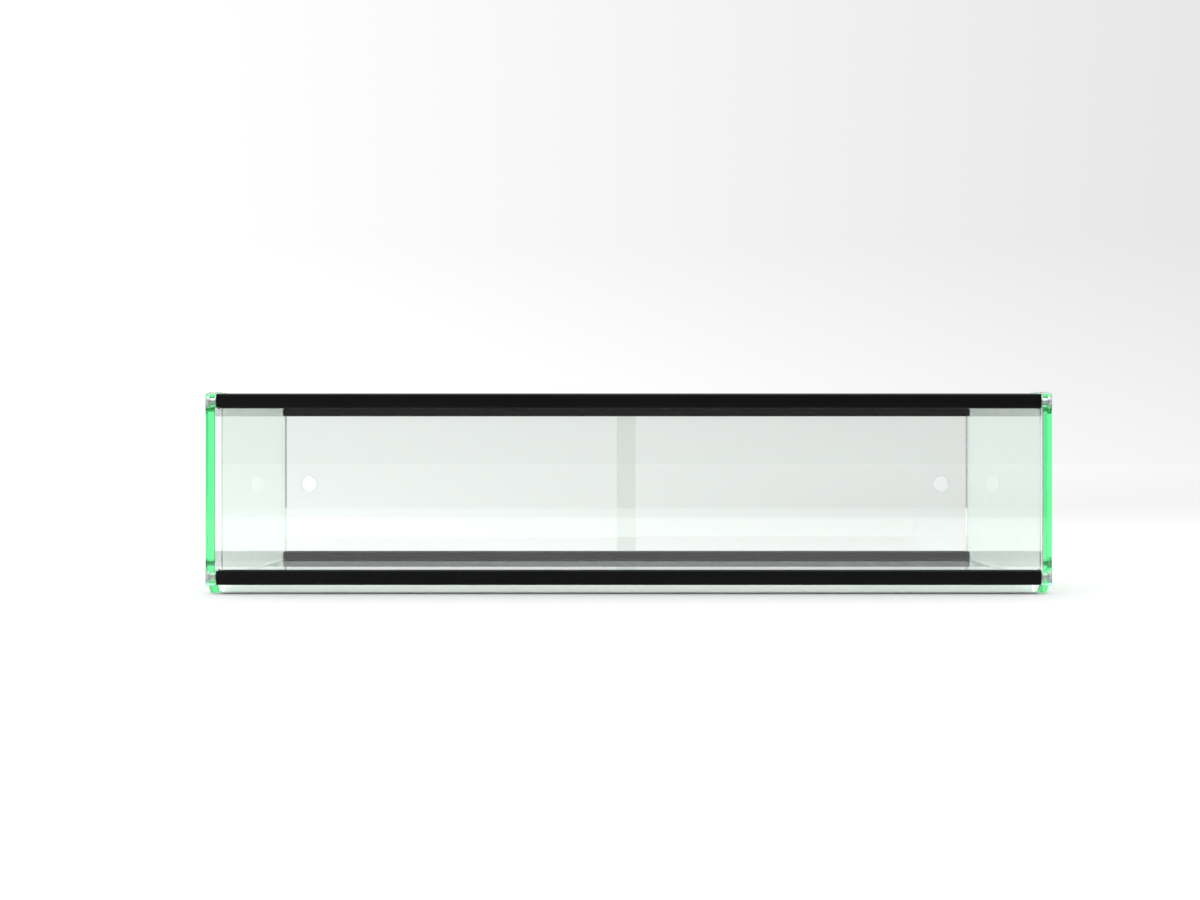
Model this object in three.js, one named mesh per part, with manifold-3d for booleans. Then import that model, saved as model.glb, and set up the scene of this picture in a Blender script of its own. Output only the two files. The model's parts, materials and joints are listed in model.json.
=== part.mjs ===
// A countertop bakery display case. Two thick glass end panels are bolted to four black
// aluminium rails. The rails hold the front, top and base glass in seals, and the rear rails
// guide two sliding glass doors.
// Millimetres, +Z up. X runs along the case, the customer's side faces -Y, and the origin is the
// centre of the footprint, on the counter.
import * as THREE from 'three';
import { mergeVertices } from 'three/addons/utils/BufferGeometryUtils.js';
import Module from 'manifold-3d';

const wasm = await Module();
wasm.setup();

// Driving dimensions
const WIDTH = 900;
const DEPTH = 350;
const HEIGHT = 216;
const PANEL_THICKNESS = 10;
const PANE_THICKNESS = 4;
const RAIL_DEPTH = 25;
const RAIL_HEIGHT = 15.5;
const GAP = 0.1; // between pieces that touch
const ROUND_SEGMENTS = 24;
const EDGE_SEGMENTS = 8; // along a rail's rounded edge
const CUTTER_OVERRUN = 1; // past the face that a cutter goes through
const MERGE_TOLERANCE = 1e-4;

// End panels: each stands on two tapered feet cut from the same sheet
const FOOT_HEIGHT = 9.5;
const FOOT_SETBACK = 11;
const FOOT_LENGTH = 33;
const FOOT_TOE_RUN = 9;
const FOOT_HEEL_RUN = 6;
const SHOULDER_RUN = 12;
const SHOULDER_DROP = 3;

// Rails, in their own section: u from the outer face inwards, v from the rounded edge
const RAIL_INSET = 1; // from the end panels' front and rear edges
const RAIL_LOW = 9.2;
const RAIL_DROP = 1.8; // below the end panels' tops
const RAIL_HIGH = HEIGHT - RAIL_DROP;
const RAIL_EDGE_RUN = 10.6;
const RAIL_EDGE_RISE = 2.5;
const RAIL_CORNER = 0.8;
const PORT_U = 12.5;
const PORT_V = 9.2;
const PORT_RADIUS = 2.6;

// Seals grip each fixed pane in a groove
const SEAL_WALL = 0.6;
const SEAL_WEB = 1;
const SHELF_SEAL_LIP = 0.6; // stands out of the groove
const FRONT_SEAL_LIP = 0.8;
const GROOVE_WIDTH = PANE_THICKNESS + 2 * SEAL_WALL + 4 * GAP;
const GROOVE_DEPTH = 7;
const SHELF_GROOVE_DEPTH = 7.4;
const FRONT_PANE_U = 4.5;
const SHELF_V = 4;
const PANE_SETBACK = 2; // from a rail's end to a shelf pane's end
const FRONT_PANE_PLAY = 5.2; // the front pane sits hard over to the right, so this is left free

// Doors
const DOOR_THICKNESS = 4;
const DOOR_GROOVE_WIDTH = 5;
const DOOR_GROOVE_DEPTH = 6;
const OUTER_DOOR_U = 4.5;
const INNER_DOOR_U = 18.5;
const DOOR_LAP = 24;
const DOOR_HEAD_PLAY = 0.6;
const DOOR_END_PLAY = 0.5;
const FINGER_HOLE_RADIUS = 10;
const FINGER_HOLE_FROM_PANEL = 33;
const GLIDE_THICKNESS = 1;
const GLIDE_WIDTH = 4.6;

// Fixings
const WASHER_RADIUS = 8;
const WASHER_THICKNESS = 0.8;
const SHANK_RADIUS = 2.5;
const SHANK_REACH = 26; // into the rail
const TIP_TAPER = 0.6;
const TIP_LENGTH = 0.8;
const BARREL_RADIUS = 3.9; // fills the end panel's bore
const HEAD_RADIUS = 6.3;
const HEAD_HEIGHT = 2.3;
const HEAD_EDGE = 0.4;
const SOCKET_RADIUS = 2.3;
const SOCKET_DEPTH = 3;
const COUNTERBORE_RADIUS = 6.7;
const COUNTERBORE_DEPTH = 2.7;
const PANEL_BORE_RADIUS = 4.2;
const WASHER_BORE_RADIUS = 2.8;

// Places that follow from the sizes above
const PANEL_INSIDE = WIDTH / 2 - PANEL_THICKNESS;
const RAIL_END = PANEL_INSIDE - WASHER_THICKNESS - 2 * GAP;
const PANE_END = RAIL_END - PANE_SETBACK;
const DOOR_END = RAIL_END - DOOR_END_PLAY;
const RAIL_FACE = DEPTH / 2 - RAIL_INSET;
const PORT_Y = RAIL_FACE - PORT_U;
const PANE_STANDOFF = SEAL_WEB + 2 * GAP; // from a groove's floor to the pane's edge

const glass = new THREE.MeshStandardMaterial({
  color: 0xdff2e8, roughness: 0.03, metalness: 0, transparent: true, opacity: 0.3,
});
const panelGlass = new THREE.MeshStandardMaterial({
  color: 0x6eff9e, roughness: 0.05, metalness: 0, transparent: true, opacity: 0.45,
});
const blackAluminium = new THREE.MeshStandardMaterial({
  color: 0x181a1a, roughness: 0.38, metalness: 0.6,
});
const steel = new THREE.MeshStandardMaterial({ color: 0xb9bfbd, roughness: 0.25, metalness: 1 });
const sealRubber = new THREE.MeshStandardMaterial({ color: 0x0e0f0f, roughness: 0.7, metalness: 0 });
const nylon = new THREE.MeshStandardMaterial({ color: 0x202222, roughness: 0.5, metalness: 0 });

const displayCase = new THREE.Group();

function add(name, geometry, material, x = 0, y = 0, z = 0) {
  const mesh = new THREE.Mesh(geometry, material);
  mesh.name = name;
  mesh.position.set(x, y, z);
  displayCase.add(mesh);
}

// Turns a section drawn in Y and Z into a bar of the given length, centred on X = 0.
function barAlongX(section, length) {
  const bar = new THREE.ExtrudeGeometry(section, {
    depth: length, bevelEnabled: false, curveSegments: ROUND_SEGMENTS,
  });
  const turn = new THREE.Matrix4().makeBasis(
    new THREE.Vector3(0, 1, 0), new THREE.Vector3(0, 0, 1), new THREE.Vector3(1, 0, 0),
  );
  return bar.applyMatrix4(turn).translate(-length / 2, 0, 0);
}

function box(x, y, z) {
  return new THREE.BoxGeometry(x, y, z);
}

function circle(x, y, radius) {
  const points = [];
  for (let i = 0; i < ROUND_SEGMENTS; i += 1) {
    const angle = 2 * Math.PI * i / ROUND_SEGMENTS;
    points.push(new THREE.Vector2(x + radius * Math.cos(angle), y + radius * Math.sin(angle)));
  }
  return points;
}

function toSolid(geometry) {
  const bare = geometry.clone();
  bare.deleteAttribute('normal');
  bare.deleteAttribute('uv');
  const merged = mergeVertices(bare, MERGE_TOLERANCE);
  return new wasm.Manifold(new wasm.Mesh({
    numProp: 3,
    vertProperties: new Float32Array(merged.attributes.position.array),
    triVerts: new Uint32Array(merged.index.array),
  }));
}

function toGeometry(solid) {
  const mesh = solid.getMesh();
  const geometry = new THREE.BufferGeometry();
  geometry.setAttribute('position', new THREE.BufferAttribute(mesh.vertProperties, 3));
  geometry.setIndex(new THREE.BufferAttribute(mesh.triVerts, 1));
  geometry.computeVertexNormals();
  return geometry;
}

// A cylinder along X, from x = from to x = to
function rodAlongX(radius, from, to) {
  const rod = new THREE.CylinderGeometry(radius, radius, to - from, ROUND_SEGMENTS);
  return rod.rotateZ(-Math.PI / 2).translate((from + to) / 2, 0, 0);
}

// End panels

function halfPanelOutline() {
  const edge = DEPTH / 2;
  const toe = edge - FOOT_SETBACK;
  const heel = toe - FOOT_LENGTH;
  return [
    [heel, FOOT_HEIGHT],
    [heel + FOOT_HEEL_RUN, 0],
    [toe - FOOT_TOE_RUN, 0],
    [toe, FOOT_HEIGHT],
    [edge, FOOT_HEIGHT],
    [edge, HEIGHT - SHOULDER_DROP],
    [edge - SHOULDER_RUN, HEIGHT],
  ];
}

function panelSection() {
  const rear = halfPanelOutline();
  const front = rear.map(([y, z]) => [-y, z]).reverse();
  return new THREE.Shape([...rear, ...front].map(([y, z]) => new THREE.Vector2(y, z)));
}

// side is +1 for the right panel, whose outer face looks along +X, and -1 for the left
function endPanel(side) {
  let panel = toSolid(barAlongX(panelSection(), PANEL_THICKNESS));
  const outside = PANEL_THICKNESS / 2;
  for (const y of [-PORT_Y, PORT_Y]) {
    for (const z of [RAIL_LOW + PORT_V, RAIL_HIGH - PORT_V]) {
      const past = outside + CUTTER_OVERRUN;
      const bore = rodAlongX(PANEL_BORE_RADIUS, -past, past);
      const recess = rodAlongX(COUNTERBORE_RADIUS, outside - COUNTERBORE_DEPTH, past);
      if (side < 0) {
        recess.rotateZ(Math.PI);
      }
      panel = panel.subtract(toSolid(bore.translate(0, y, z)));
      panel = panel.subtract(toSolid(recess.translate(0, y, z)));
    }
  }
  return toGeometry(panel);
}

for (const [name, side] of [['left', -1], ['right', 1]]) {
  const x = side * (PANEL_INSIDE + PANEL_THICKNESS / 2);
  add(`side_panel_${name}`, endPanel(side), panelGlass, x, 0, 0);
}

// Rails

// The section's inner edge, v = RAIL_HEIGHT, with a groove cut down from it at each of these
function grooveSteps(grooves) {
  const points = [];
  for (const { u, width, depth } of grooves) {
    points.push(
      [u + width / 2, RAIL_HEIGHT],
      [u + width / 2, RAIL_HEIGHT - depth],
      [u - width / 2, RAIL_HEIGHT - depth],
      [u - width / 2, RAIL_HEIGHT],
    );
  }
  return points;
}

// grooves run from the innermost to the outermost. outward and up are +1 or -1, and place the
// section at the front or the rear and at the base or the top.
function railSection(grooves, outward, up) {
  const outline = new THREE.Shape();
  outline.moveTo(RAIL_DEPTH, 0);
  outline.lineTo(RAIL_DEPTH, SHELF_V - GROOVE_WIDTH / 2);
  outline.lineTo(RAIL_DEPTH - SHELF_GROOVE_DEPTH, SHELF_V - GROOVE_WIDTH / 2);
  outline.lineTo(RAIL_DEPTH - SHELF_GROOVE_DEPTH, SHELF_V + GROOVE_WIDTH / 2);
  outline.lineTo(RAIL_DEPTH, SHELF_V + GROOVE_WIDTH / 2);
  outline.lineTo(RAIL_DEPTH, RAIL_HEIGHT - RAIL_CORNER);
  outline.lineTo(RAIL_DEPTH - RAIL_CORNER, RAIL_HEIGHT);
  for (const [u, v] of grooveSteps(grooves)) {
    outline.lineTo(u, v);
  }
  outline.lineTo(RAIL_CORNER, RAIL_HEIGHT);
  outline.lineTo(0, RAIL_HEIGHT - RAIL_CORNER);
  outline.absellipse(
    RAIL_EDGE_RUN, RAIL_EDGE_RISE, RAIL_EDGE_RUN, RAIL_EDGE_RISE, Math.PI, 1.5 * Math.PI, false, 0,
  );

  const outer = up > 0 ? RAIL_LOW : RAIL_HIGH;
  const place = ({ x: u, y: v }) => new THREE.Vector2(outward * (RAIL_FACE - u), outer + up * v);
  const placed = new THREE.Shape(outline.getPoints(EDGE_SEGMENTS).map(place));
  const port = place({ x: PORT_U, y: PORT_V });
  placed.holes.push(new THREE.Path(circle(port.x, port.y, PORT_RADIUS)));
  return placed;
}

const frontGrooves = [{ u: FRONT_PANE_U, width: GROOVE_WIDTH, depth: GROOVE_DEPTH }];
const doorGrooves = [INNER_DOOR_U, OUTER_DOOR_U].map(
  (u) => ({ u, width: DOOR_GROOVE_WIDTH, depth: DOOR_GROOVE_DEPTH }),
);
for (const [end, outward, grooves] of [['front', -1, frontGrooves], ['rear', 1, doorGrooves]]) {
  for (const [level, up] of [['bottom', 1], ['top', -1]]) {
    const rail = barAlongX(railSection(grooves, outward, up), 2 * RAIL_END);
    add(`rail_${end}_${level}`, rail, blackAluminium);
  }
}

// Fixed panes

const frontPaneLow = RAIL_LOW + RAIL_HEIGHT - GROOVE_DEPTH + PANE_STANDOFF;
const frontPaneHigh = RAIL_HIGH - RAIL_HEIGHT + GROOVE_DEPTH - PANE_STANDOFF;
const frontPaneY = -(RAIL_FACE - FRONT_PANE_U);
const shelfPaneHalfDepth = RAIL_FACE - RAIL_DEPTH + SHELF_GROOVE_DEPTH - PANE_STANDOFF;
const basePaneZ = RAIL_LOW + SHELF_V;
const topPaneZ = RAIL_HIGH - SHELF_V;
const frontPaneWidth = 2 * RAIL_END - FRONT_PANE_PLAY;
const frontPaneX = FRONT_PANE_PLAY / 2;
const frontPane = box(frontPaneWidth, PANE_THICKNESS, frontPaneHigh - frontPaneLow);
add('front_glass', frontPane, glass, frontPaneX, frontPaneY, (frontPaneLow + frontPaneHigh) / 2);
add('base_glass', box(2 * PANE_END, 2 * shelfPaneHalfDepth, PANE_THICKNESS), glass, 0, 0, basePaneZ);
add('top_glass', box(2 * PANE_END, 2 * shelfPaneHalfDepth, PANE_THICKNESS), glass, 0, 0, topPaneZ);

// Seals: a U section drawn with its web at the bottom of the groove, and its mouth at a = mouth

function sealSection(mouth, place) {
  const half = GROOVE_WIDTH / 2 - GAP;
  const points = [
    [-half, GAP],
    [half, GAP],
    [half, mouth],
    [half - SEAL_WALL, mouth],
    [half - SEAL_WALL, GAP + SEAL_WEB],
    [SEAL_WALL - half, GAP + SEAL_WEB],
    [SEAL_WALL - half, mouth],
    [-half, mouth],
  ];
  return new THREE.Shape(points.map(([b, a]) => place(a, b)));
}

for (const [level, up] of [['bottom', 1], ['top', -1]]) {
  const outer = up > 0 ? RAIL_LOW : RAIL_HIGH;
  const floor = outer + up * (RAIL_HEIGHT - GROOVE_DEPTH);
  const section = sealSection(
    GROOVE_DEPTH + FRONT_SEAL_LIP, (a, b) => new THREE.Vector2(frontPaneY + b, floor + up * a),
  );
  add(`seal_front_glass_${level}`, barAlongX(section, frontPaneWidth), sealRubber, frontPaneX);
}
for (const [pane, z] of [['base', basePaneZ], ['top', topPaneZ]]) {
  for (const [end, outward] of [['front', -1], ['rear', 1]]) {
    const floor = outward * (RAIL_FACE - RAIL_DEPTH + SHELF_GROOVE_DEPTH);
    const section = sealSection(
      SHELF_GROOVE_DEPTH + SHELF_SEAL_LIP,
      (a, b) => new THREE.Vector2(floor - outward * a, z + b),
    );
    add(`seal_${pane}_glass_${end}`, barAlongX(section, 2 * PANE_END), sealRubber);
  }
}

// Sliding doors, on glide strips in the lower rear rail's two grooves

const grooveFloor = RAIL_LOW + RAIL_HEIGHT - DOOR_GROOVE_DEPTH;
const doorLow = grooveFloor + GLIDE_THICKNESS + 2 * GAP;
const doorHigh = RAIL_HIGH - RAIL_HEIGHT + DOOR_GROOVE_DEPTH - DOOR_HEAD_PLAY;
const doorWidth = DOOR_END + DOOR_LAP / 2;
const doorHeight = doorHigh - doorLow;
const fingerHoleZ = (RAIL_LOW + RAIL_HIGH) / 2 - (doorLow + doorHigh) / 2;

// Drawn in X and Z about the door's own centre, then stood upright
function door(side) {
  const leaf = new THREE.Shape([
    new THREE.Vector2(-doorWidth / 2, -doorHeight / 2),
    new THREE.Vector2(doorWidth / 2, -doorHeight / 2),
    new THREE.Vector2(doorWidth / 2, doorHeight / 2),
    new THREE.Vector2(-doorWidth / 2, doorHeight / 2),
  ]);
  const holeX = side * (PANEL_INSIDE - FINGER_HOLE_FROM_PANEL - (DOOR_END - doorWidth / 2));
  leaf.holes.push(new THREE.Path(circle(holeX, fingerHoleZ, FINGER_HOLE_RADIUS)));
  const plate = new THREE.ExtrudeGeometry(leaf, {
    depth: DOOR_THICKNESS, bevelEnabled: false, curveSegments: ROUND_SEGMENTS,
  });
  return plate.rotateX(Math.PI / 2).translate(0, DOOR_THICKNESS / 2, 0);
}

for (const [name, side, track, u] of [
  ['left', -1, 'inner', INNER_DOOR_U],
  ['right', 1, 'outer', OUTER_DOOR_U],
]) {
  const y = RAIL_FACE - u;
  const x = side * (DOOR_END - doorWidth / 2);
  add(`door_${name}`, door(side), glass, x, y, (doorLow + doorHigh) / 2);
  const glide = box(2 * DOOR_END, GLIDE_WIDTH, GLIDE_THICKNESS);
  add(`door_glide_${track}`, glide, nylon, 0, y, grooveFloor + GAP + GLIDE_THICKNESS / 2);
}

// Flat-headed bolts through the end panels into the rails' screw ports, with a washer at each
// rail end. A barrel fills the panel's bore, and the thread starts below it.

// Drawn along +Y from the shank's tip, then turned so that the head faces outwards
function bolt(side) {
  const tip = RAIL_END - SHANK_REACH;
  const shoulder = PANEL_INSIDE + PANEL_THICKNESS - COUNTERBORE_DEPTH + GAP;
  const crown = shoulder + HEAD_HEIGHT;
  const profile = [
    [0, tip],
    [SHANK_RADIUS - TIP_TAPER, tip],
    [SHANK_RADIUS, tip + TIP_LENGTH],
    [SHANK_RADIUS, PANEL_INSIDE],
    [BARREL_RADIUS, PANEL_INSIDE],
    [BARREL_RADIUS, shoulder],
    [HEAD_RADIUS, shoulder],
    [HEAD_RADIUS, crown - HEAD_EDGE],
    [HEAD_RADIUS - HEAD_EDGE, crown],
    [0, crown],
  ].map(([r, along]) => new THREE.Vector2(r, along));
  const turned = toSolid(new THREE.LatheGeometry(profile, ROUND_SEGMENTS));
  const socket = new THREE.CylinderGeometry(SOCKET_RADIUS, SOCKET_RADIUS, 2 * SOCKET_DEPTH, 6);
  const driven = turned.subtract(toSolid(socket.translate(0, crown, 0)));
  return toGeometry(driven).rotateZ(-side * Math.PI / 2);
}

function washer() {
  const ring = new THREE.Shape(circle(0, 0, WASHER_RADIUS));
  ring.holes.push(new THREE.Path(circle(0, 0, WASHER_BORE_RADIUS)));
  return barAlongX(ring, WASHER_THICKNESS);
}

for (const [name, side] of [['left', -1], ['right', 1]]) {
  for (const [end, outward] of [['front', -1], ['rear', 1]]) {
    for (const [level, z] of [['bottom', RAIL_LOW + PORT_V], ['top', RAIL_HIGH - PORT_V]]) {
      const y = outward * PORT_Y;
      const washerX = side * (RAIL_END + GAP + WASHER_THICKNESS / 2);
      add(`bolt_${name}_${end}_${level}`, bolt(side), steel, 0, y, z);
      add(`washer_${name}_${end}_${level}`, washer(), steel, washerX, y, z);
    }
  }
}

export default displayCase;
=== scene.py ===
# A countertop bakery display case in a plain white studio. Metres, +Z up, customer's side at -Y.
import json
import math

import bmesh
import bpy
from mathutils import Matrix, Vector

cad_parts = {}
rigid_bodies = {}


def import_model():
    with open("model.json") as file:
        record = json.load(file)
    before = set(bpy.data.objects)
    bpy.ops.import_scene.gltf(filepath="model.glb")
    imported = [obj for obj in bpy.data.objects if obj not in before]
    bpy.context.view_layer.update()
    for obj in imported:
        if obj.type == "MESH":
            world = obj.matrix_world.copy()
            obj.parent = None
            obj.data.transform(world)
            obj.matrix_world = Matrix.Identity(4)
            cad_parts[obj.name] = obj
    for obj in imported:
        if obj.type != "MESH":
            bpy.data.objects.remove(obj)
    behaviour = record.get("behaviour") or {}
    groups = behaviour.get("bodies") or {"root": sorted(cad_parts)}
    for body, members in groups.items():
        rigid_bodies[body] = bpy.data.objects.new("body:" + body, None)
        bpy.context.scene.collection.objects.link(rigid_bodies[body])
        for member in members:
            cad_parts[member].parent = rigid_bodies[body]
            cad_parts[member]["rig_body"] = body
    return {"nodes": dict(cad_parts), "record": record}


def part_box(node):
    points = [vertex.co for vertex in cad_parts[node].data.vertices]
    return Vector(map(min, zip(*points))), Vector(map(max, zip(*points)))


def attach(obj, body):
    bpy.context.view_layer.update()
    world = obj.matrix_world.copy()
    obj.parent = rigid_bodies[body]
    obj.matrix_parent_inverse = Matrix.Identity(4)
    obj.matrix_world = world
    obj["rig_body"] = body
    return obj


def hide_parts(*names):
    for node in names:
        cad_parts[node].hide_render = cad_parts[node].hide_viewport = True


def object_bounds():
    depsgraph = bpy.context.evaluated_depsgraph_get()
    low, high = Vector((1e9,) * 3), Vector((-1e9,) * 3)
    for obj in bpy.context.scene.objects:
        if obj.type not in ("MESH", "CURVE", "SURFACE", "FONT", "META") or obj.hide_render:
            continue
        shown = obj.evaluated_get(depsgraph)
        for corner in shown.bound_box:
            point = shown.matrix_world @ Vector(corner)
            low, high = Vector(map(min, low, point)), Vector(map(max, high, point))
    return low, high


# Camera: level, looking along +Y at the customer's side
CAMERA_DISTANCE = 1.583  # from the case's front
CAMERA_X = -0.0146
CAMERA_Z = 0.1462
LENS_MM = 44.68
SENSOR_MM = 36
SHIFT_X = -0.0125
SHIFT_Y = 0.0058
VIEW_REACH = 50

# Backdrop: its brightness changes with the x, y and z of the direction that it is seen in
WHITE_LEVEL = 1.03
GREY_LEVEL = 0.22  # on the customer's side
AHEAD_RAMP = (-0.35, 0.25)  # y, from grey to white
OVERHEAD_RAMP = (0.45, 0.8)  # z, above which all is white
RIGHTWARD_RAMP = (-0.33, 0.45)  # x, from full brightness to the share below
RIGHTWARD_SHARE = 0.747
LOW_DOWN_RAMP = (0.0, 0.14)  # z, over which the lift below dies away
LOW_DOWN_LIFT = 0.11

# Floor, in metres from the middle of the case's footprint
FLOOR_REACH = 30
FLOOR_TONES = (0.96, 0.98)
FLOOR_LIGHT = 1.205  # how bright a perfectly white floor is under the lamp and the backdrop
WHITE_FLOOR_NEAR = (-2.26, -2.06)  # y, where the floor turns white, behind the camera
WHITE_FLOOR_FAR = (-0.8, 2.8)  # y, where the floor starts and ends turning into the backdrop
WHITE_FLOOR_SIDE = (2.0, 6.0)  # x, to either side

# Light
SUN_STRENGTH = 1.5
SUN_SOFTNESS = math.radians(70)
ALL_BOUNCES = 24
GLOSSY_BOUNCES = 16
GLASS_BOUNCES = 20

# Meshes
WELD_DISTANCE = 1e-6
FLAT_ANGLE = math.radians(0.5)
SHARP_ANGLE = math.radians(30)
FINE_SEGMENTS = 96
LATHE_STEPS = 48
METAL_ROUNDING = 0.0003
RUBBER_ROUNDING = 0.00015
BOLT_ROUNDING = 0.0001

# Glass
GLASS_IOR = 1.5
FILM_FACTORS = (0.45, 0.8)  # the part of a noise that shows as handling marks
FILM_ROUGHNESS = 0.012
GLASS_CHAMFER = 0.0004
FACE_LEAN = 0.9  # a sheet's face has more than this of its normal across the sheet
FINGER_HOLE_RADIUS = 0.010
DRILL_LENGTH = 0.05
CLEAR_TINT = (0.921, 0.945, 0.931)
CLEAR_SHADE_TINT = (0.82, 0.85, 0.83)

# End panels
PANEL_TINT = (0.985, 0.995, 0.99)
PANEL_ABSORBED = (5.3, 0.1, 3.0)  # per metre, in red, green and blue
PANEL_CHAMFER = 0.0007
PANEL_BORE_RADIUS = 0.0042
COUNTERBORE_RADIUS = 0.0067
COUNTERBORE_DEPTH = 0.0027
HOLE_REACH = 0.0082  # past a counterbore's chamfer
GROUND_MARK = "ground"
GROUND_ROUGHNESS = 0.5

# Bolts and washers
THREAD_PITCH = 0.0008
THREAD_DEPTH = 0.0004
THREADED_LENGTH = 0.022
SHANK_RADIUS = 0.0025
BARREL_RADIUS = 0.0039
BARREL_LENGTH = 0.0074
HEAD_HEIGHT = 0.0023
HEAD_RADIUS = 0.0063
HEAD_EDGE = 0.0004
SOCKET_RADIUS = 0.0023
SOCKET_DEPTH = 0.003
WASHER_BORE_RADIUS = 0.0028
WASHER_RIM_SHARE = 0.2  # of the thickness

NOISE_RANGE = (0.3, 0.7)  # most of a noise lies in here

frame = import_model()
cad_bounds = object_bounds()
cad_low = cad_bounds[0]
nodes = frame["nodes"]
body_of_node = {n: o["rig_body"] for n, o in nodes.items()}
openings = {o["name"]: o["box_m"] for o in frame["record"]["physics"]["openings"]}


# Camera

def make_camera():
    data = bpy.data.cameras.new("camera")
    data.lens = LENS_MM
    data.sensor_width = SENSOR_MM
    data.shift_x = SHIFT_X
    data.shift_y = SHIFT_Y
    data.clip_end = VIEW_REACH
    camera = bpy.data.objects.new("camera", data)
    camera.location = (CAMERA_X, cad_low.y - CAMERA_DISTANCE, CAMERA_Z)
    camera.rotation_euler = (math.pi / 2, 0, 0)
    bpy.context.scene.collection.objects.link(camera)
    bpy.context.scene.camera = camera


# Node helpers

def new_material(name):
    material = bpy.data.materials.new(name)
    material.use_nodes = True
    tree = material.node_tree
    return material, tree, tree.nodes["Principled BSDF"]


def stretched_noise(tree, scale, stretch=(1, 1, 1), detail=3):
    place = tree.nodes.new("ShaderNodeTexCoord")
    mapping = tree.nodes.new("ShaderNodeMapping")
    mapping.inputs["Scale"].default_value = stretch
    noise = tree.nodes.new("ShaderNodeTexNoise")
    noise.inputs["Scale"].default_value = scale
    noise.inputs["Detail"].default_value = detail
    tree.links.new(place.outputs["Object"], mapping.inputs["Vector"])
    tree.links.new(mapping.outputs["Vector"], noise.inputs["Vector"])
    return noise.outputs["Fac"]


def ramp_between(tree, value, from_range, low, high, shape="SMOOTHSTEP"):
    """Maps a value from one range of numbers to another."""
    ranged = tree.nodes.new("ShaderNodeMapRange")
    ranged.interpolation_type = shape
    ranged.inputs["From Min"].default_value = from_range[0]
    ranged.inputs["From Max"].default_value = from_range[1]
    ranged.inputs["To Min"].default_value = low
    ranged.inputs["To Max"].default_value = high
    tree.links.new(value, ranged.inputs["Value"])
    return ranged.outputs["Result"]


def spread(tree, noise, low, high, target):
    """Spreads a noise over a range of numbers and links it to a socket."""
    tree.links.new(ramp_between(tree, noise, NOISE_RANGE, low, high, "LINEAR"), target)


def shade(tree, noise, dark, light, target):
    """Runs a noise through two colours and links it to a colour socket."""
    ramp = tree.nodes.new("ShaderNodeValToRGB")
    for end, position, colour in zip(ramp.color_ramp.elements, NOISE_RANGE, (dark, light)):
        end.position = position
        end.color = (*colour, 1)
    tree.links.new(noise, ramp.inputs["Fac"])
    tree.links.new(ramp.outputs["Color"], target)


def relief(tree, noise, strength, distance, shader):
    bump = tree.nodes.new("ShaderNodeBump")
    bump.inputs["Strength"].default_value = strength
    bump.inputs["Distance"].default_value = distance
    tree.links.new(noise, bump.inputs["Height"])
    tree.links.new(bump.outputs["Normal"], shader.inputs["Normal"])


def worked_out(tree, operation, a, b):
    """One sum on two sockets, or on a socket and a number."""
    node = tree.nodes.new("ShaderNodeMath")
    node.operation = operation
    tree.links.new(a, node.inputs[0])
    if isinstance(b, float):
        node.inputs[1].default_value = b
    else:
        tree.links.new(b, node.inputs[1])
    return node.outputs["Value"]


def mixed(tree, factor, a, b):
    node = tree.nodes.new("ShaderNodeMix")
    tree.links.new(factor, node.inputs["Factor"])
    for value, socket in ((a, node.inputs["A"]), (b, node.inputs["B"])):
        if isinstance(value, float):
            socket.default_value = value
        else:
            tree.links.new(value, socket)
    return node.outputs["Result"]


def parts_of(tree, vector):
    axes = tree.nodes.new("ShaderNodeSeparateXYZ")
    tree.links.new(vector, axes.inputs["Vector"])
    return axes.outputs["X"], axes.outputs["Y"], axes.outputs["Z"]


def let_lamps_through(tree, shader, tint):
    """Lets light from the lamps and the world reach what is behind the glass."""
    path = tree.nodes.new("ShaderNodeLightPath")
    clear = tree.nodes.new("ShaderNodeBsdfTransparent")
    clear.inputs["Color"].default_value = (*tint, 1)
    mix = tree.nodes.new("ShaderNodeMixShader")
    tree.links.new(path.outputs["Is Shadow Ray"], mix.inputs["Fac"])
    tree.links.new(shader.outputs["BSDF"], mix.inputs[1])
    tree.links.new(clear.outputs["BSDF"], mix.inputs[2])
    tree.links.new(mix.outputs["Shader"], tree.nodes["Material Output"].inputs["Surface"])


# Materials

def new_glass(name):
    material, tree, shader = new_material(name)
    shader.inputs["Transmission Weight"].default_value = 1
    shader.inputs["IOR"].default_value = GLASS_IOR
    return material, tree, shader


def handling_marks(tree, shape):
    """The roughness of a faint film on polished glass."""
    smears = stretched_noise(tree, 9, (1, 1, 1.6), 5)
    return ramp_between(tree, smears, FILM_FACTORS, 0.0, FILM_ROUGHNESS, shape)


def clear_glass():
    """Thin float glass. Light that a lamp sends through one of its faces takes the shade tint."""
    material, tree, shader = new_glass("clear_glass")
    shader.inputs["Base Color"].default_value = (*CLEAR_TINT, 1)
    tree.links.new(handling_marks(tree, "LINEAR"), shader.inputs["Roughness"])
    let_lamps_through(tree, shader, CLEAR_SHADE_TINT)
    return material


def glass_edge_with_painted_glow():
    """A thin sheet's cut edge. It has a greener colour than its faces and a faint painted green glow,
    which stand in for light that runs along the sheet.
    """
    material, tree, shader = new_glass("edge_with_painted_glow")
    # Painted light: this greener base colour stands in for light carried along the sheet to its edge.
    drift = stretched_noise(tree, 60, (3, 3, 0.25), 2)
    shade(tree, drift, (0.62, 0.88, 0.74), (0.80, 0.95, 0.87), shader.inputs["Base Color"])
    # Painted glow: a faint green emission, though the edge is no lamp.
    shader.inputs["Emission Color"].default_value = (0.7, 0.92, 0.8, 1)
    shader.inputs["Emission Strength"].default_value = 0.05
    polish = stretched_noise(tree, 220, (1, 1, 1), 3)
    spread(tree, polish, 0.05, 0.16, shader.inputs["Roughness"])
    return material


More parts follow.
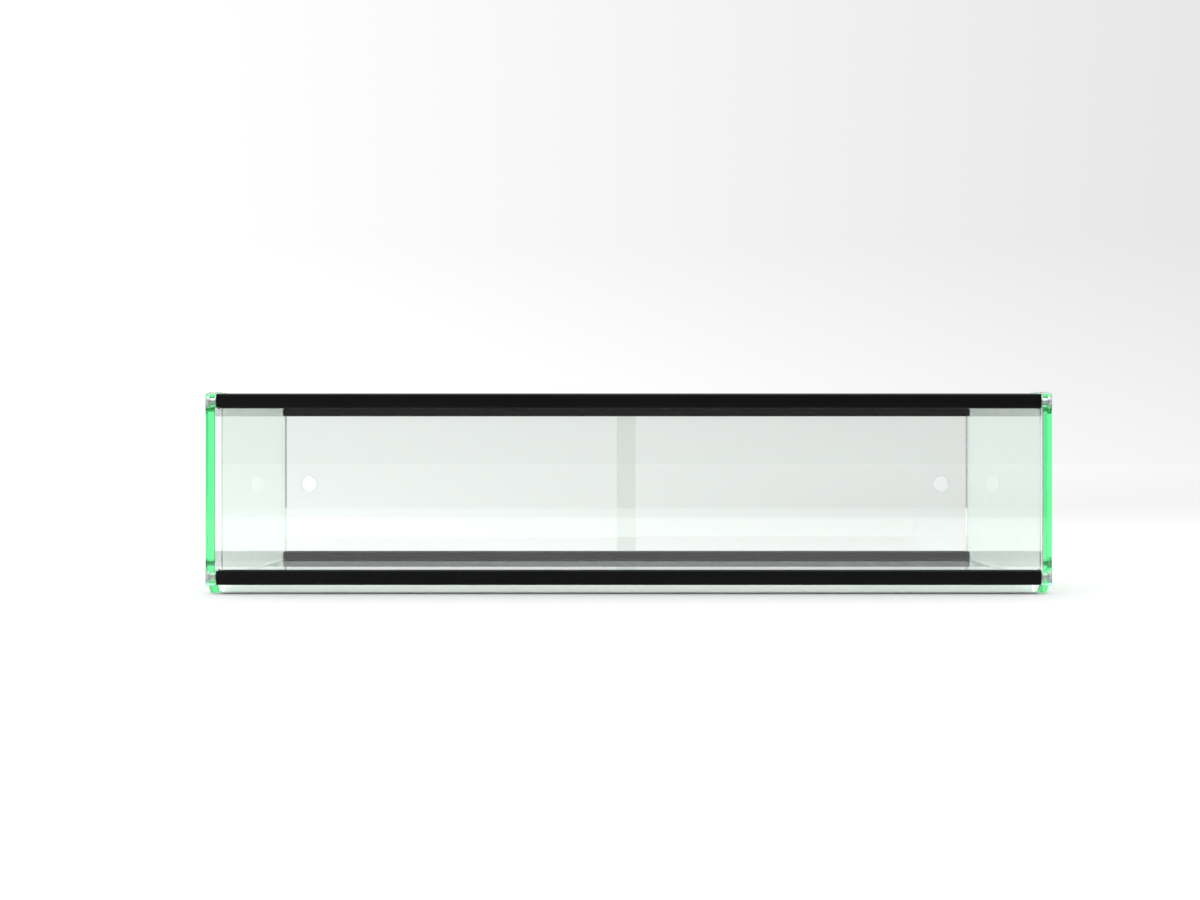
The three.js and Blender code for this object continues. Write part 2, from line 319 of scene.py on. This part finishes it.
def tint_by_depth(tree, absorbed):
    """Takes colour out of light by the length of glass that it crosses."""
    most = max(absorbed)
    volume = tree.nodes.new("ShaderNodeVolumeAbsorption")
    volume.inputs["Color"].default_value = (*(1 - a / most for a in absorbed), 1)
    volume.inputs["Density"].default_value = most
    tree.links.new(volume.outputs["Volume"], tree.nodes["Material Output"].inputs["Volume"])


def thick_glass():
    """Thick green glass, pale through its faces and vivid along its length. One material covers
    the whole sheet, so that light takes its colour only while it is inside."""
    material, tree, shader = new_glass("panel_glass")
    shader.inputs["Base Color"].default_value = (*PANEL_TINT, 1)
    film = handling_marks(tree, "SMOOTHSTEP")
    ground = tree.nodes.new("ShaderNodeAttribute")
    ground.attribute_name = GROUND_MARK
    matt = worked_out(tree, "MULTIPLY", ground.outputs["Fac"], GROUND_ROUGHNESS)
    tree.links.new(worked_out(tree, "ADD", film, matt), shader.inputs["Roughness"])
    let_lamps_through(tree, shader, PANEL_TINT)
    tint_by_depth(tree, PANEL_ABSORBED)
    return material


def black_anodised():
    material, tree, shader = new_material("black_anodised")
    lines = stretched_noise(tree, 900, (0.02, 1, 1), 4)
    patches = stretched_noise(tree, 14, (0.5, 1, 1), 3)
    shade(tree, patches, (0.0026, 0.0027, 0.0028), (0.0042, 0.0044, 0.0044), shader.inputs["Base Color"])
    spread(tree, lines, 0.38, 0.52, shader.inputs["Roughness"])
    shader.inputs["IOR"].default_value = 1.22
    relief(tree, lines, 0.12, 0.00004, shader)
    return material


def bright_steel():
    material, tree, shader = new_material("bright_steel")
    turned = stretched_noise(tree, 1800, (1, 0.15, 0.15), 3)
    shade(tree, turned, (0.46, 0.49, 0.48), (0.62, 0.65, 0.64), shader.inputs["Base Color"])
    shader.inputs["Metallic"].default_value = 1
    spread(tree, turned, 0.16, 0.32, shader.inputs["Roughness"])
    relief(tree, turned, 0.1, 0.00003, shader)
    return material


def black_rubber():
    material, tree, shader = new_material("black_rubber")
    grain = stretched_noise(tree, 1200, (1, 1, 1), 5)
    shade(tree, grain, (0.0045, 0.0045, 0.0045), (0.0085, 0.0085, 0.0085), shader.inputs["Base Color"])
    spread(tree, grain, 0.62, 0.84, shader.inputs["Roughness"])
    relief(tree, grain, 0.25, 0.00005, shader)
    return material


def black_nylon():
    material, tree, shader = new_material("black_nylon")
    wear = stretched_noise(tree, 700, (0.03, 1, 1), 3)
    shade(tree, wear, (0.016, 0.016, 0.016), (0.026, 0.026, 0.026), shader.inputs["Base Color"])
    spread(tree, wear, 0.34, 0.52, shader.inputs["Roughness"])
    relief(tree, wear, 0.15, 0.00003, shader)
    return material


# Meshes

def object_from(name, mesh_maker, materials):
    mesh = bpy.data.meshes.new(name)
    mesh_maker.normal_update()
    mesh_maker.to_mesh(mesh)
    mesh_maker.free()
    piece = bpy.data.objects.new(name, mesh)
    for material in materials:
        mesh.materials.append(material)
    bpy.context.scene.collection.objects.link(piece)
    return piece


def welded_copy(node):
    """A CAD node's shape with its triangles joined into whole faces."""
    shape = bmesh.new()
    shape.from_mesh(nodes[node].data)
    bmesh.ops.remove_doubles(shape, verts=shape.verts, dist=WELD_DISTANCE)
    bmesh.ops.dissolve_limit(
        shape, angle_limit=FLAT_ANGLE, verts=shape.verts, edges=shape.edges,
    )
    return shape


def applied(piece):
    """Turns a piece's modifiers into its mesh, and marks its corners sharp."""
    graph = bpy.context.evaluated_depsgraph_get()
    mesh = bpy.data.meshes.new_from_object(piece.evaluated_get(graph))
    piece.modifiers.clear()
    piece.data = mesh
    mesh.shade_smooth()
    mesh.set_sharp_from_angle(angle=SHARP_ANGLE)


def chamfer(piece, width):
    bevel = piece.modifiers.new("chamfer", "BEVEL")
    bevel.width = width
    bevel.segments = 1
    bevel.limit_method = "ANGLE"
    bevel.angle_limit = SHARP_ANGLE
    bevel.use_clamp_overlap = True


def rounding(piece, width):
    bevel = piece.modifiers.new("rounding", "BEVEL")
    bevel.width = width
    bevel.segments = 3
    bevel.limit_method = "ANGLE"
    bevel.angle_limit = SHARP_ANGLE
    bevel.harden_normals = True
    piece.data.shade_smooth()


def cylinder(axis, centre, radius, length):
    """A fine cylinder, used to drill glass."""
    tool = bmesh.new()
    turn = Vector((0, 0, 1)).rotation_difference(Vector(axis)).to_matrix().to_4x4()
    bmesh.ops.create_cone(
        tool, cap_ends=True, segments=FINE_SEGMENTS, radius1=radius, radius2=radius, depth=length,
        matrix=Matrix.Translation(centre) @ turn,
    )
    return object_from("drill", tool, [])


def drill(piece, cutters):
    for cutter in cutters:
        cut = piece.modifiers.new("drill", "BOOLEAN")
        cut.operation = "DIFFERENCE"
        cut.solver = "EXACT"
        cut.object = cutter
    applied(piece)
    for cutter in cutters:
        bpy.data.objects.remove(cutter)


def put_on(piece, node):
    """The piece stands for its CAD node and moves with it."""
    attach(piece, body_of_node[node])
    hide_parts(node)


# Glass

def is_cut(face, thin_axis):
    """Whether a face of a sheet is one of its cut edges or the wall of a hole."""
    return abs(face.normal[thin_axis]) < FACE_LEAN


def paint_edges(pane, thin_axis):
    for face in pane.data.polygons:
        face.material_index = int(is_cut(face, thin_axis))


def mark_ground(panel, axes):
    """Marks the walls of an end panel's drilled holes, which stay as the cutter leaves them."""
    marks = panel.data.attributes.new(GROUND_MARK, "FLOAT", "FACE")
    for face in panel.data.polygons:
        by_a_hole = any((face.center.yz - axis).length < HOLE_REACH for axis in axes)
        marks.data[face.index].value = float(by_a_hole and is_cut(face, 0))


def box_shape(node):
    low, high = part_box(node)
    shape = bmesh.new()
    place = Matrix.Translation((low + high) / 2) @ Matrix.Diagonal((*(high - low), 1))
    bmesh.ops.create_cube(shape, size=1, matrix=place)
    return shape


def plain_pane(node, thin_axis):
    pane = object_from(f"{node}_pane", box_shape(node), [clear, edge_with_painted_glow])
    chamfer(pane, GLASS_CHAMFER)
    applied(pane)
    paint_edges(pane, thin_axis)
    put_on(pane, node)


def sliding_door(node, hole_name):
    low, high = openings[hole_name]
    centre = (Vector(low) + Vector(high)) / 2
    leaf = object_from(f"{node}_leaf", box_shape(node), [clear, edge_with_painted_glow])
    drill(leaf, [cylinder((0, 1, 0), centre, FINGER_HOLE_RADIUS, DRILL_LENGTH)])
    chamfer(leaf, GLASS_CHAMFER)
    applied(leaf)
    paint_edges(leaf, 1)
    put_on(leaf, node)


def undrilled(node, axes):
    """An end panel's outline as a whole sheet, without its bolt holes."""
    shape = welded_copy(node)

    def by_a_hole(face):
        middle = face.calc_center_median().yz
        return any((middle - axis).length < HOLE_REACH for axis in axes)

    doomed = [f for f in shape.faces if abs(f.normal.x) > FACE_LEAN or by_a_hole(f)]
    bmesh.ops.delete(shape, geom=doomed, context="FACES")
    rims = [e for e in shape.edges if e.is_boundary]
    bmesh.ops.holes_fill(shape, edges=rims, sides=0)
    bmesh.ops.recalc_face_normals(shape, faces=shape.faces)
    return shape


def end_panel(side):
    node = f"side_panel_{side}"
    low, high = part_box(node)
    outside = low.x if side == "left" else high.x
    bolts = [b for b in nodes if b.startswith(f"bolt_{side}")]
    axes = [((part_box(b)[0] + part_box(b)[1]) / 2).yz for b in bolts]
    panel = object_from(f"{node}_sheet", undrilled(node, axes), [panel_glass])
    cutters = []
    for y, z in axes:
        centre = (outside, y, z)
        cutters.append(cylinder((1, 0, 0), centre, PANEL_BORE_RADIUS, DRILL_LENGTH))
        cutters.append(cylinder((1, 0, 0), centre, COUNTERBORE_RADIUS, 2 * COUNTERBORE_DEPTH))
    drill(panel, cutters)
    chamfer(panel, PANEL_CHAMFER)
    applied(panel)
    mark_ground(panel, axes)
    put_on(panel, node)


# Rails, seals and glides keep their section, with rounded corners

def bar(node, suffix, material, width):
    piece = object_from(f"{node}_{suffix}", welded_copy(node), [material])
    rounding(piece, width)
    put_on(piece, node)


# Fixings

def lathe(profile, name, material):
    """Turns (radius, along) points about X."""
    shape = bmesh.new()
    points = [shape.verts.new((along, radius, 0)) for radius, along in profile]
    edges = [shape.edges.new(pair) for pair in zip(points, points[1:])]
    bmesh.ops.spin(
        shape, geom=points + edges, cent=(0, 0, 0), axis=(1, 0, 0),
        angle=2 * math.pi, steps=LATHE_STEPS, use_duplicate=False,
    )
    bmesh.ops.remove_doubles(shape, verts=shape.verts, dist=WELD_DISTANCE)
    bmesh.ops.recalc_face_normals(shape, faces=shape.faces)
    return object_from(name, shape, [material])


def bolt_profile(length):
    """Tip at 0 and crown at length, with ridges for the thread."""
    shoulder = length - HEAD_HEIGHT
    points = [(0, 0), (SHANK_RADIUS - THREAD_DEPTH, 0)]
    turns = int(THREADED_LENGTH / THREAD_PITCH)
    for turn in range(1, turns):
        root = turn * THREAD_PITCH
        points.append((SHANK_RADIUS - THREAD_DEPTH, root))
        points.append((SHANK_RADIUS, root + THREAD_PITCH / 2))
    points += [
        (SHANK_RADIUS, THREADED_LENGTH + THREAD_PITCH),
        (SHANK_RADIUS, shoulder - BARREL_LENGTH),
        (BARREL_RADIUS, shoulder - BARREL_LENGTH),
        (BARREL_RADIUS, shoulder),
        (HEAD_RADIUS - HEAD_EDGE / 2, shoulder),
        (HEAD_RADIUS, shoulder + HEAD_EDGE / 2),
        (HEAD_RADIUS, length - HEAD_EDGE),
        (HEAD_RADIUS - HEAD_EDGE, length),
        (0, length),
    ]
    return points


def hex_key_socket(length):
    tool = bmesh.new()
    turn = Matrix.Rotation(math.pi / 2, 4, "Y")
    bmesh.ops.create_cone(
        tool, cap_ends=True, segments=6, radius1=SOCKET_RADIUS, radius2=SOCKET_RADIUS,
        depth=2 * SOCKET_DEPTH, matrix=Matrix.Translation((length, 0, 0)) @ turn,
    )
    return object_from("drill", tool, [])


def bolt(node):
    low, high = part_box(node)
    length = high.x - low.x
    piece = lathe(bolt_profile(length), f"{node}_screw", steel)
    drill(piece, [hex_key_socket(length)])
    rounding(piece, BOLT_ROUNDING)
    applied(piece)
    middle = (low + high) / 2
    if "left" in node:
        place = Matrix.Translation((high.x, middle.y, middle.z)) @ Matrix.Rotation(math.pi, 4, "Z")
    else:
        place = Matrix.Translation((low.x, middle.y, middle.z))
    piece.data.transform(place)
    put_on(piece, node)


def washer(node):
    low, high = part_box(node)
    radius = (high.y - low.y) / 2
    thick = high.x - low.x
    soft = thick * WASHER_RIM_SHARE
    profile = [
        (WASHER_BORE_RADIUS, 0),
        (radius - soft, 0),
        (radius, soft),
        (radius, thick - soft),
        (radius - soft, thick),
        (WASHER_BORE_RADIUS, thick),
        (WASHER_BORE_RADIUS, 0),
    ]
    piece = lathe(profile, f"{node}_ring", steel)
    middle = (low + high) / 2
    piece.data.transform(Matrix.Translation((low.x, middle.y, middle.z)))
    applied(piece)
    put_on(piece, node)


# Studio

def backdrop_level(tree, direction):
    """How bright the studio is in a direction: white ahead and overhead, shaded to the right,
    and grey low down on the customer's side."""
    x, y, z = parts_of(tree, direction)
    ahead = ramp_between(tree, y, AHEAD_RAMP, GREY_LEVEL, WHITE_LEVEL)
    above = ramp_between(tree, z, OVERHEAD_RAMP, 0.0, 1.0)
    level = mixed(tree, above, ahead, WHITE_LEVEL)
    rightward = ramp_between(tree, x, RIGHTWARD_RAMP, 1.0, RIGHTWARD_SHARE, "LINEAR")
    low_down = ramp_between(tree, z, LOW_DOWN_RAMP, LOW_DOWN_LIFT, 0.0, "LINEAR")
    return worked_out(tree, "MULTIPLY", level, worked_out(tree, "ADD", rightward, low_down))


def make_world():
    world = bpy.data.worlds.new("studio")
    bpy.context.scene.world = world
    world.use_nodes = True
    tree = world.node_tree
    place = tree.nodes.new("ShaderNodeTexCoord")
    level = backdrop_level(tree, place.outputs["Generated"])
    tree.links.new(level, tree.nodes["Background"].inputs["Strength"])
    tree.nodes["Background"].inputs["Color"].default_value = (1, 1, 1, 1)


def floor_white():
    """White around the case. Further out its colour is painted shade that copies the backdrop's
    brightness, darker to the right and grey on the customer's side, so no horizon shows.
    """
    material, tree, shader = new_material("floor_white")
    place = tree.nodes.new("ShaderNodeTexCoord")
    direction = tree.nodes.new("ShaderNodeVectorMath")
    direction.operation = "NORMALIZE"
    tree.links.new(place.outputs["Object"], direction.inputs[0])
    x, y, _ = parts_of(tree, place.outputs["Object"])
    sideways = worked_out(tree, "MULTIPLY", x, x)
    beside = ramp_between(tree, sideways, [reach ** 2 for reach in WHITE_FLOOR_SIDE], 0.0, 1.0)
    behind = ramp_between(tree, y, WHITE_FLOOR_FAR, 0.0, 1.0)
    in_front = ramp_between(tree, y, WHITE_FLOOR_NEAR, 1.0, 0.0)
    ends = worked_out(tree, "MAXIMUM", behind, in_front)
    outside = worked_out(tree, "MAXIMUM", ends, beside)
    level = backdrop_level(tree, direction.outputs["Vector"])
    # Painted shade: the far floor's colour is the backdrop's brightness in that direction, not a lit
    # white.
    far_painted_shade = worked_out(tree, "MULTIPLY", level, 1 / FLOOR_LIGHT)
    near = ramp_between(tree, stretched_noise(tree, 40, (1, 1, 1), 4), NOISE_RANGE, *FLOOR_TONES)
    tree.links.new(mixed(tree, outside, near, far_painted_shade), shader.inputs["Base Color"])
    shader.inputs["Roughness"].default_value = 0.8
    shader.inputs["Specular IOR Level"].default_value = 0.1
    return material


def make_floor():
    shape = bmesh.new()
    bmesh.ops.create_grid(shape, x_segments=1, y_segments=1, size=FLOOR_REACH)
    object_from("floor", shape, [floor_white()])


def soft_sun():
    """Even light from overhead, broad enough to leave only soft shadows."""
    data = bpy.data.lights.new("overhead", "SUN")
    data.energy = SUN_STRENGTH
    data.angle = SUN_SOFTNESS
    lamp = bpy.data.objects.new("overhead", data)
    bpy.context.scene.collection.objects.link(lamp)


def let_light_travel():
    """Light caught in a thick sheet meets its faces many times before it leaves by an edge."""
    paths = bpy.context.scene.cycles
    paths.max_bounces = ALL_BOUNCES
    paths.glossy_bounces = GLOSSY_BOUNCES
    paths.transmission_bounces = GLASS_BOUNCES


make_camera()

clear = clear_glass()
edge_with_painted_glow = glass_edge_with_painted_glow()
panel_glass = thick_glass()
black = black_anodised()
steel = bright_steel()
rubber = black_rubber()
nylon = black_nylon()

for panel_side in ("left", "right"):
    end_panel(panel_side)
plain_pane("front_glass", 1)
plain_pane("top_glass", 2)
plain_pane("base_glass", 2)
sliding_door("door_left", "finger_hole_left")
sliding_door("door_right", "finger_hole_right")
for node_name in sorted(nodes):
    if node_name.startswith("rail"):
        bar(node_name, "extrusion", black, METAL_ROUNDING)
    elif node_name.startswith("seal"):
        bar(node_name, "strip", rubber, RUBBER_ROUNDING)
    elif node_name.startswith("door_glide"):
        bar(node_name, "strip", nylon, RUBBER_ROUNDING)
    elif node_name.startswith("bolt"):
        bolt(node_name)
    elif node_name.startswith("washer"):
        washer(node_name)

make_floor()
make_world()
soft_sun()
let_light_travel()
bpy.context.scene.view_settings.view_transform = "Standard"
